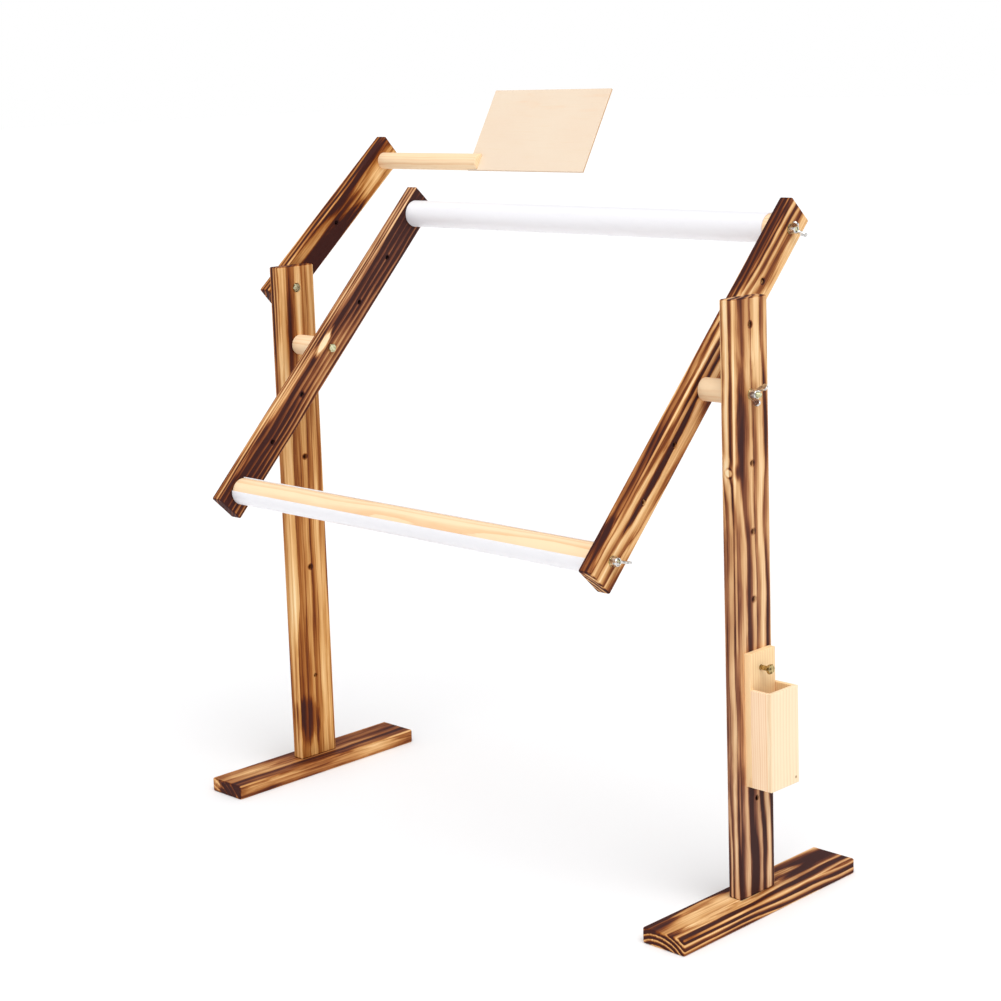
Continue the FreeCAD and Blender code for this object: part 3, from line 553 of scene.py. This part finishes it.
SHANK = 2.95 * MM
HEAD_FLATS = 10 * MM
HEAD_CORNER = HEAD_FLATS / 2 / math.cos(math.pi / 6)
HEAD_HEIGHT = 4 * MM
BOLT_THREAD = 24 * MM
# How far a bolt's rod reaches into its head.
ROD_OVERLAP = 0.5 * MM
WASHER_BORE = 3.2 * MM
WASHER_OUTSIDE = 6 * MM
WASHER_THICKNESS = 1.6 * MM
NUT_BORE = 3 * MM
WING_NUT_BORE = 3.25 * MM
WING_NUT_HUB = 7.4 * MM
# Half a wing's thickness at the bolt's axis, in millimetres, and its loss for each one outward.
WING_HALF_THICKNESS = 1.75
WING_TAPER = 0.055
CASTING_VOXEL = 0.33 * MM


def bolt_mesh(shank):
    """A hexagon bolt that lies along Z, its head from 0 up and its threaded tip last."""
    flat = HEAD_FLATS / 2
    head = turned([
        (0, 0),
        (flat * 0.55, 0),
        (flat * 0.62, 0.25 * MM),
        (flat * 0.92, 0.25 * MM),
        (flat * 0.98, 0.35 * MM),
        (HEAD_CORNER, 0.9 * MM),
        (HEAD_CORNER, HEAD_HEIGHT - 0.5 * MM),
        (flat * 1.02, HEAD_HEIGHT),
        (0, HEAD_HEIGHT),
    ], segments=72, limit=hexagon_limit(HEAD_FLATS))
    length = shank + ROD_OVERLAP
    rod = threaded_rod(SHANK, length, [(length - BOLT_THREAD, length)])
    rod.transform(Matrix.Translation((0, 0, HEAD_HEIGHT - ROD_OVERLAP)))
    return joined(head, rod)


def stud_mesh(length):
    """A stud threaded at both ends, with a plain waist."""
    inner_end = (0.0, 0.42 * length)
    outer_end = (0.52 * length, length)
    return finish_mesh(threaded_rod(SHANK, length, [inner_end, outer_end]))


def washer_mesh():
    """A stamped washer, one rim rounded by the punch and the other sharper."""
    return finish_mesh(turned([
        (WASHER_BORE + 0.25 * MM, 0),
        (WASHER_OUTSIDE - 0.15 * MM, 0),
        (WASHER_OUTSIDE, 0.15 * MM),
        (WASHER_OUTSIDE, WASHER_THICKNESS - 0.45 * MM),
        (WASHER_OUTSIDE - 0.15 * MM, WASHER_THICKNESS - 0.15 * MM),
        (WASHER_OUTSIDE - 0.5 * MM, WASHER_THICKNESS),
        (WASHER_BORE + 0.1 * MM, WASHER_THICKNESS),
        (WASHER_BORE, WASHER_THICKNESS - 0.1 * MM),
        (WASHER_BORE, 0.25 * MM),
    ], segments=64, closed=True))


def nut_mesh(height):
    """A hexagon nut with both faces turned off at the corners."""
    face = 0.95 * HEAD_FLATS / 2
    return finish_mesh(turned([
        (NUT_BORE + 0.4 * MM, 0),
        (face, 0),
        (HEAD_CORNER, 0.6 * MM),
        (HEAD_CORNER, height - 0.6 * MM),
        (face, height),
        (NUT_BORE + 0.4 * MM, height),
        (NUT_BORE, height - 0.4 * MM),
        (NUT_BORE, 0.4 * MM),
    ], segments=72, limit=hexagon_limit(HEAD_FLATS), closed=True))


def wing_outline(radius=4.0, centre=(11.4, 10.0), root=4.2, low=0.7, high=6.8, steps=20):
    """The side view of one wing, as (height, reach) points in millimetres round its tip."""
    along, out = centre

    def touch(height, side):
        away = (height - along, root - out)
        opening = math.acos(radius / math.hypot(*away))
        return math.atan2(away[1], away[0]) + side * opening

    start = touch(high, 1)
    end = touch(low, -1) + 2 * math.pi
    points = [(low, 0.0), (low, root)]
    for step in range(steps + 1):
        angle = end + (start - end) * step / steps
        points.append((along + radius * math.cos(angle), out + radius * math.sin(angle)))
    points += [(high, root), (high, 0.0)]
    return points


def wing_mesh(side):
    """One wing as a plate that thins towards its tip. side is 1 or -1 along the local X."""
    work = bmesh.new()
    outline = wing_outline()
    layers = []
    for across in (-1, 1):
        layer = []
        for height, reach in outline:
            half = WING_HALF_THICKNESS - WING_TAPER * reach
            layer.append(work.verts.new((side * reach * MM, across * half * MM, height * MM)))
        layers.append(layer)
    count = len(outline)
    for step in range(count):
        following = (step + 1) % count
        work.faces.new([layers[0][step], layers[0][following], layers[1][following], layers[1][step]])
    work.faces.new(layers[0])
    work.faces.new(layers[1])
    bmesh.ops.recalc_face_normals(work, faces=work.faces)
    mesh = bpy.data.meshes.new("wing")
    work.to_mesh(mesh)
    work.free()
    return mesh


def wing_nut_mesh():
    """A cast wing nut: hub and wings melted into one soft-cornered shape round a bore."""
    hub = turned([
        (WING_NUT_BORE, 0),
        (5.9 * MM, 0),
        (5.95 * MM, 0.9 * MM),
        (4.95 * MM, WING_NUT_HUB - 0.8 * MM),
        (4.3 * MM, WING_NUT_HUB),
        (WING_NUT_BORE, WING_NUT_HUB),
    ], closed=True)
    solid = bpy.data.objects.new("casting", joined(hub))
    below, above = -5 * MM, 20 * MM
    drill = turned([(0, below), (WING_NUT_BORE, below), (WING_NUT_BORE, above), (0, above)])
    cutter = bpy.data.objects.new("cutter", finish_mesh(drill))
    wings = [bpy.data.objects.new("wing", wing_mesh(side)) for side in (1, -1)]
    scene = bpy.context.scene.collection
    for item in (solid, cutter, *wings):
        scene.objects.link(item)
    for operand, operation in ((wings[0], "UNION"), (wings[1], "UNION"), (cutter, "DIFFERENCE")):
        change = solid.modifiers.new(operation, "BOOLEAN")
        change.object = operand
        change.operation = operation
        change.solver = "EXACT"
    melt = solid.modifiers.new("melt", "REMESH")
    melt.mode = "VOXEL"
    melt.voxel_size = CASTING_VOXEL
    soften = solid.modifiers.new("soften", "SMOOTH")
    soften.factor = 0.5
    soften.iterations = 6
    bpy.context.view_layer.update()
    shape = solid.evaluated_get(bpy.context.evaluated_depsgraph_get())
    mesh = bpy.data.meshes.new_from_object(shape)
    for item in (solid, cutter, *wings):
        bpy.data.objects.remove(item)
    mesh.materials.clear()
    mesh.shade_smooth()
    return mesh


# How far each wing nut is turned about its bolt, in degrees, as in the CAD model.
WING_TURN = {
    "left_pivot": 20,
    "right_pivot": 50,
    "upper_left": 75,
    "upper_right": 140,
    "lower_left": 46,
    "lower_right": -8,
    "pattern_arm": 60,
    "pattern_rod": 15,
}
# How far each sleeve's slot is turned about its bar, in degrees from facing up and to the front.
CLIP_TURN = {"upper": 180, "lower": -10}


def outward_of(name):
    """Which way a fitting points, and a bolt its threaded tip: 1 towards +X and -1 towards -X."""
    return 1 if "right" in name else -1


def build_hardware():
    """Nickelled wing nuts, zinc washers, bolts and studs, and the tool box's brassy bolt."""
    nickel = plated_steel("nickel_plate", srgb(238, 237, 233), srgb(160, 158, 155), 0.16, 1)
    zinc = plated_steel("yellow_zinc", srgb(222, 220, 184), srgb(168, 164, 122), 0.24, 5)
    brass = plated_steel("brassy_zinc", srgb(206, 182, 128), srgb(108, 88, 50), 0.16, 9)
    wing_nut = wing_nut_mesh()
    washer = washer_mesh()
    across_wings = Matrix.Rotation(math.radians(90), 4, "Z")
    for name, turn in WING_TURN.items():
        outward = outward_of(name)
        matrix, _ = seat(f"{name}_wing_nut", outward)
        spin = Matrix.Rotation(math.radians(turn * outward), 4, "Z")
        add_piece(f"{name}_wing_nut_cast", wing_nut, matrix @ spin @ across_wings, nickel,
                  f"{name}_wing_nut")
        matrix, _ = seat(f"{name}_washer", outward)
        add_piece(f"{name}_washer_stamped", washer, matrix, zinc, f"{name}_washer")
    for name in ("left_pivot_bolt", "right_pivot_bolt", "pattern_arm_bolt", "tool_box_bolt"):
        matrix, whole = seat(name, outward_of(name))
        mesh = bolt_mesh(whole - HEAD_HEIGHT)
        add_piece(f"{name}_threaded", mesh, matrix, brass if name == "tool_box_bolt" else zinc, name)
    for name in ("upper_left", "upper_right", "lower_left", "lower_right", "pattern_rod"):
        matrix, whole = seat(f"{name}_stud", outward_of(name))
        add_piece(f"{name}_stud_threaded", stud_mesh(whole), matrix, zinc, f"{name}_stud")
    matrix, whole = seat("tool_box_nut", 1)
    add_piece("tool_box_nut_turned", nut_mesh(whole), matrix, zinc, "tool_box_nut")
    frame["nodes"]["foot_screws"].data.materials.clear()
    frame["nodes"]["foot_screws"].data.materials.append(zinc)


# --------------------------------------------------------------------- boards and round wood

UPRIGHT = Matrix.Rotation(math.radians(90), 4, "X")
FLAT = Matrix.Rotation(math.radians(90), 4, "Y")
ALONG_X = Matrix.Rotation(math.radians(-90), 4, "Z")
TILTED = Matrix.Rotation(FRAME_ANGLE, 4, "X")
PATTERN_TILTED = Matrix.Rotation(PATTERN_ANGLE, 4, "X")

# Each torched board: how its own frame is turned, and its looks. In a board's own frame Y runs
# along it and X through it. Z crosses it: a post's Z faces the front, an arm's Z faces up and
# to the front, a foot's Z faces right and its -X faces up.
TORCHED_BOARDS = {
    "right_post": (UPRIGHT, dict(
        heat=0.7, band=0.7, fill=0.38, pitch=8.1, heart=(-67, 40), waver=2.8, lean=0.007,
        seed=2, rich=(0.88, 1.0), holes=(-71.5, 303.5, 75), marks=[
            ((0, 325, 0), (60, 90, 80), -0.3, -0.1),
            ((0, 240, 30), (14, 100, 9), -0.1, 0.1),
            ((0, 140, 30), (9, 26, 9), -0.25, 0.0),
            ((0, -270, 0), (60, 110, 80), 0.2, 0.05),
            ((0, -60, 30), (14, 200, 9), -0.15, -0.4),
            ((9, 90, 0), (7, 230, 34), -0.1, 0.0),
        ], knots=[((1, 146, 30), 5.5)])),
    "left_post": (UPRIGHT, dict(
        heat=0.43, band=0.3, fill=0.42, pitch=6.2, heart=(-60, 50), waver=1.8, lean=-0.006,
        seed=4, rich=(1.08, 1.05), holes=(-71.5, 303.5, 75), patch=0.1, marks=[
            ((6, -278, 16), (14, 38, 19), 0.4, 0.1),
            ((9, 225, 12), (9, 90, 9), 0.2, 0.1),
            ((9, -210, 0), (8, 90, 34), 0.1, 0.0),
            ((0, 300, 30), (14, 90, 8), 0.3, 0.3),
        ])),
    "left_arm": (TILTED, dict(
        heat=0.76, band=0.5, fill=0.58, pitch=4.8, heart=(-60, 50), waver=1.6, lean=0.004,
        seed=6, rich=(1.03, 0.93), holes=(-225, 225, 75), marks=[
            ((0, 0, 21), (12, 400, 5), -0.25, 0.1),
            ((9, 190, -2), (12, 110, 20), 0.32, 0.0),
            ((9, -215, 0), (12, 50, 20), 0.2, 0.0),
            # A pale streak near the pivot, by the front edge of the inner face.
            ((9, -2, 14), (6, 26, 6), -1.0, 0.0),
        ])),
    "right_arm": (TILTED, dict(
        heat=0.6, band=0.72, fill=0.42, pitch=6.6, heart=(-62, -34), waver=3.6, lean=0.012,
        seed=8, rich=(1.03, 1.03), holes=(-225, 225, 75), marks=[
            ((0, 190, 21), (14, 110, 6), 0.42, -0.3),
            ((0, -100, 21), (14, 160, 5), 0.12, -0.35),
            ((0, -230, 21), (14, 50, 6), 0.35, -0.3),
            ((9, -100, 3), (7, 100, 8), 0.5, -0.1),
            ((9, 10, 0), (7, 60, 30), 0.25, 0.05),
        ])),
    "pattern_arm": (PATTERN_TILTED, dict(
        heat=0.66, band=0.5, fill=0.5, pitch=6.5, heart=(-50, 46), waver=2.5, lean=0.01,
        seed=9, rich=(1.06, 1.08), holes=(-118, 118, 118), marks=[
            ((9, 95, -4), (8, 58, 20), -0.3, -0.1),
            ((9, 80, 20), (8, 80, 8), 0.35, -0.2),
            ((9, -40, -12), (8, 90, 15), 0.6, -0.3),
            ((9, -60, 12), (8, 80, 8), -0.45, -0.2),
            ((0, 0, 21), (12, 300, 5), 0.2, 0.0),
        ])),
    "left_foot": (FLAT, dict(
        heat=0.6, band=0.3, fill=0.5, pitch=8.0, heart=(60, -44), waver=2.2, lean=0.008,
        seed=12, rich=(1.04, 1.04), marks=[
            ((0, 0, 29), (9, 200, 6), -0.3, 0.0),
            ((-9, 90, 0), (8, 80, 22), 0.12, 0.0),
            ((-9, -100, -14), (8, 60, 14), -0.2, 0.0),
            ((0, -152, 12), (12, 4, 18), 0.4, 0.2),
            ((0, -152, -22), (12, 4, 14), -0.35, 0.3),
        ])),
    "right_foot": (FLAT, dict(
        heat=0.92, band=0.78, fill=0.46, pitch=5.8, heart=(42, -8), waver=1.8, lean=0.006,
        seed=14, rich=(1.06, 1.0), end_heat=0.0, marks=[
            ((-9, -55, -2), (7, 120, 18), -0.72, -0.5),
            ((-9, -140, -20), (7, 40, 12), 0.3, -0.2),
            ((-9, 100, 10), (8, 60, 14), 0.12, -0.1),
        ])),
}


def build_boards():
    """The posts, the arms and the feet."""
    for node, (rotation, look) in TORCHED_BOARDS.items():
        mesh, matrix, half = own_frame(node, rotation)
        add_piece(f"{node}_board", mesh, matrix, torched_pine(f"{node}_wood", half, **look), node)


def build_round_wood():
    """The two bars, the pattern rod and the two spacers."""
    looks = {
        "upper_bar": dict(seed=3, heart=(-20, 14)),
        "lower_bar": dict(seed=5, heart=(-24, -8), strength=0.65),
        "pattern_rod": dict(seed=7, heart=(-16, 20)),
        "left_spacer": dict(seed=9, heart=(-22, 10)),
        "right_spacer": dict(seed=11, heart=(-18, -16)),
    }
    for node, look in looks.items():
        mesh, matrix, _ = own_frame(node, ALONG_X)
        material = pale_wood(f"{node}_wood", srgb(252, 222, 182), srgb(234, 182, 130), **look)
        add_piece(f"{node}_turned", mesh, matrix, material, node)


def build_tool_box():
    """Each panel has its own pale colour. Its own frame is a post's."""
    bare = srgb(248, 227, 192)
    pinkish = srgb(254, 224, 190)
    orange = srgb(252, 220, 170)
    panels = {
        "tool_box_back": (orange, dict(seed=21, heart=(12, -70), strength=0.9, pitch=4.2)),
        "tool_box_front": (bare, dict(seed=23, heart=(10, -90), strength=0.45, pitch=5.5,
                                      knots=[((2.5, -48, -19), 2.2)])),
        "tool_box_near_side": (pinkish, dict(seed=25, heart=(-80, 10), strength=0.9, pitch=2.9)),
        "tool_box_far_side": (orange, dict(seed=27, heart=(-80, -12), strength=0.9, pitch=2.9)),
        "tool_box_floor": (bare, dict(seed=29, heart=(-30, 30))),
    }
    for node, (light, look) in panels.items():
        mesh, matrix, _ = own_frame(node, UPRIGHT)
        material = pale_wood(f"{node}_wood", light, srgb(236, 188, 138), **look)
        add_piece(f"{node}_panel", mesh, matrix, material, node)


def build_pattern_board():
    """The sheet's own frame: Y along the rod, Z up its slope."""
    tilt = Matrix.Rotation(SHEET_ANGLE - math.radians(90), 4, "X")
    mesh, matrix, half = own_frame("pattern_board", tilt @ ALONG_X)
    add_piece("pattern_board_sheet", mesh, matrix, plywood("pattern_board_ply", half), "pattern_board")


# ----------------------------------------------------------------------------- sleeves

# The sleeves' section. Their slot is in degrees round it, and their lips stand out by this share
# of half the wall. Their cut ends are eased, over CLIP_EASE, to a share of the wall.
CLIP_BORE = 16.05 * MM
CLIP_OUTSIDE = 17.45 * MM
CLIP_MIDDLE = (CLIP_BORE + CLIP_OUTSIDE) / 2
CLIP_SLOT = 90
LIP_SHARE = 0.7
CLIP_EASE = 0.3 * MM
CLIP_END_SHARE = 0.8


def clip_section(arc_steps, lip_steps):
    """The sleeve's section as (across, up) points: the outside, a round lip, the bore, a lip."""
    half_slot = math.radians(CLIP_SLOT) / 2
    half_wall = (CLIP_OUTSIDE - CLIP_BORE) / 2
    start = math.pi / 2 + half_slot
    end = math.pi / 2 + 2 * math.pi - half_slot

    def arc(radius, first, last):
        angles = [first + (last - first) * step / arc_steps for step in range(arc_steps + 1)]
        return [(radius * math.cos(angle), radius * math.sin(angle)) for angle in angles]

    def lip(angle, way):
        """From the outside in where way is 1, and from the bore out where it is -1."""
        radial = Vector((math.cos(angle), math.sin(angle)))
        ahead = Vector((-radial.y, radial.x)) * way
        points = []
        for step in range(1, lip_steps):
            turn = math.pi * step / lip_steps
            point = radial * (CLIP_MIDDLE + way * half_wall * math.cos(turn))
            point += ahead * half_wall * LIP_SHARE * math.sin(turn)
            points.append((point.x, point.y))
        return points

    return arc(CLIP_OUTSIDE, start, end) + lip(end, 1) + arc(CLIP_BORE, end, start) + lip(start, -1)


def clip_mesh(length, arc_steps=56, lip_steps=6):
    """A C-shaped sleeve along X from 0. Its slot faces +Z."""
    profile = clip_section(arc_steps, lip_steps)
    work = bmesh.new()
    rows = []
    for station in (0.0, CLIP_EASE, length - CLIP_EASE, length):
        share = CLIP_END_SHARE if station in (0.0, length) else 1.0
        row = []
        for across, up in profile:
            reach = math.hypot(across, up)
            eased = CLIP_MIDDLE + (reach - CLIP_MIDDLE) * share
            row.append(work.verts.new((station, across * eased / reach, up * eased / reach)))
        rows.append(row)
    count = len(profile)
    for low, high in zip(rows, rows[1:]):
        for step in range(count):
            following = (step + 1) % count
            work.faces.new([low[step], low[following], high[following], high[step]])
    last_inner = 2 * arc_steps + lip_steps
    for row in (rows[0], rows[-1]):
        for step in range(arc_steps):
            facing = last_inner - step
            work.faces.new([row[step], row[step + 1], row[facing - 1], row[facing]])
        work.faces.new([row[index] for index in range(arc_steps, arc_steps + lip_steps + 1)])
        work.faces.new([row[index % count] for index in range(last_inner, count + 1)])
    mesh = bpy.data.meshes.new("clip")
    work.to_mesh(mesh)
    work.free()
    return finish_mesh(mesh)


def build_clips():
    """A sleeve round each bar. It ends where its CAD node ends."""
    plastic = white_plastic()
    for name, slot_turn in CLIP_TURN.items():
        low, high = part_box(f"{name}_clip")
        bar_low, bar_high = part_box(f"{name}_bar")
        axis = (bar_low + bar_high) / 2
        mesh = clip_mesh(high.x - low.x)
        turn = Matrix.Rotation(FRAME_ANGLE + math.radians(slot_turn), 4, "X")
        matrix = Matrix.Translation((low.x, axis.y, axis.z)) @ turn
        add_piece(f"{name}_clip_extrusion", mesh, matrix, plastic, f"{name}_clip")


# ------------------------------------------------------------------------ light and camera

def build_stage():
    """A pale floor in a white room with a dimmer ceiling, and one broad soft light from the
    front right, high up."""
    bpy.ops.mesh.primitive_plane_add(size=60, location=(0, 0, 0))
    floor = bpy.context.object
    floor.name = "studio_floor"
    s = Shader("studio_floor")
    floor.data.materials.append(s.finish((0.96, 0.96, 0.96, 1), 0.9, **{"Specular IOR Level": 0.0}))

    world = bpy.data.worlds.new("studio")
    world.use_nodes = True
    nodes = world.node_tree.nodes
    links = world.node_tree.links
    direction = nodes.new("ShaderNodeTexCoord")
    split = nodes.new("ShaderNodeSeparateXYZ")
    ceiling = nodes.new("ShaderNodeValToRGB")
    links.new(direction.outputs["Generated"], split.inputs["Vector"])
    links.new(split.outputs["Z"], ceiling.inputs["Fac"])
    links.new(ceiling.outputs["Color"], nodes["Background"].inputs["Color"])
    stops = ceiling.color_ramp.elements
    stops[0].position = 0.13
    stops[0].color = (1, 1, 1, 1)
    stops[1].position = 0.3
    stops[1].color = (0.5, 0.5, 0.51, 1)
    bpy.context.scene.world = world

    data = bpy.data.lights.new("softbox", "SUN")
    data.energy = 2.15
    data.angle = math.radians(50)
    lamp = bpy.data.objects.new("softbox", data)
    bpy.context.scene.collection.objects.link(lamp)
    lamp.rotation_mode = "QUATERNION"
    shining = Vector((-0.45, 0.3, -1.0))
    lamp.rotation_quaternion = shining.to_track_quat("-Z", "Y")


def build_camera():
    """A long lens from the front right, a little above the pivot, rolled slightly."""
    azimuth = math.radians(45.14)
    elevation = math.radians(9.2)
    roll = math.radians(-1.955)
    distance = 2.539
    target_right = 0.0034
    target_height = 0.5372
    ahead = Vector((-math.sin(azimuth) * math.cos(elevation), math.cos(azimuth) * math.cos(elevation),
                    -math.sin(elevation)))
    right = Vector((math.cos(azimuth), math.sin(azimuth), 0))
    up = right.cross(ahead)
    post_line = sum(corner.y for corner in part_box("right_post")) / 2
    target = right * target_right + Vector((0, post_line, target_height))
    camera = bpy.data.objects.new("camera", bpy.data.cameras.new("camera"))
    bpy.context.scene.collection.objects.link(camera)
    rolled_right = right * math.cos(roll) + up * math.sin(roll)
    rolled_up = up * math.cos(roll) - right * math.sin(roll)
    turn = Matrix((rolled_right, rolled_up, -ahead)).transposed().to_4x4()
    camera.matrix_world = Matrix.Translation(target - ahead * distance) @ turn
    camera.data.sensor_width = 36
    camera.data.lens = 76.3
    camera.data.shift_y = -0.0999
    camera.data.clip_start = 0.05
    camera.data.clip_end = 60
    bpy.context.scene.camera = camera


build_boards()
build_round_wood()
build_tool_box()
build_pattern_board()
build_clips()
build_hardware()
build_stage()
build_camera()
bpy.context.scene.view_settings.view_transform = "Standard"
